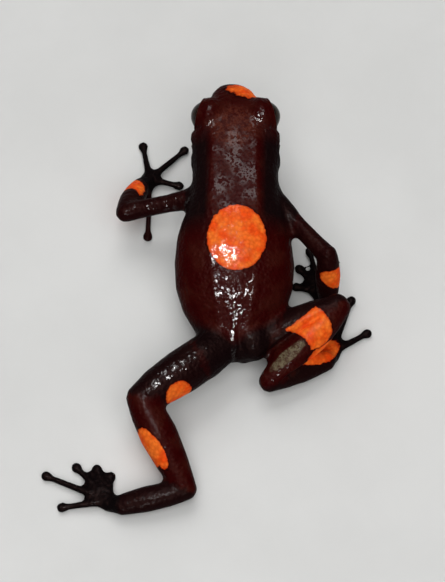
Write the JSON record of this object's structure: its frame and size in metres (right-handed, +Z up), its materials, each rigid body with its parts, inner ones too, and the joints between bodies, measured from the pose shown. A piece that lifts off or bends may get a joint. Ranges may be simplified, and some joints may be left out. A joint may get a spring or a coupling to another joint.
{
  "type": "harlequin poison frog",
  "caption": "Small walking poison frog, dark maroon with red-orange patches on snout, back and limbs, life size.",
  "frame": {"origin": "centre of the footprint of the frog's bounding box, on the surface that it stands on", "axes": "+Z up, +Y the way the frog faces, +X its right side"},
  "size_m": [0.0402, 0.0542, 0.0128],
  "materials": {
    "skin_brown": "wet, glossy dark maroon-brown skin with red-orange patches",
    "skin_black": "wet, glossy black skin of hands and feet",
    "eye_black": "polished black eye"
  },
  "bodies": {
    "root": {"torso": "skin_brown", "head": "skin_brown", "upper_arm_left": "skin_brown", "upper_arm_right": "skin_brown", "forearm_left": "skin_brown", "forearm_right": "skin_brown", "thigh_left": "skin_brown", "thigh_right": "skin_brown", "shank_left": "skin_brown", "shank_right": "skin_brown", "tarsus_left": "skin_brown", "tarsus_right": "skin_brown", "hand_left": "skin_black", "hand_right": "skin_black", "foot_left": "skin_black", "foot_right": "skin_black", "eye_left": "eye_black", "eye_right": "eye_black"}
  },
  "joints": []
}
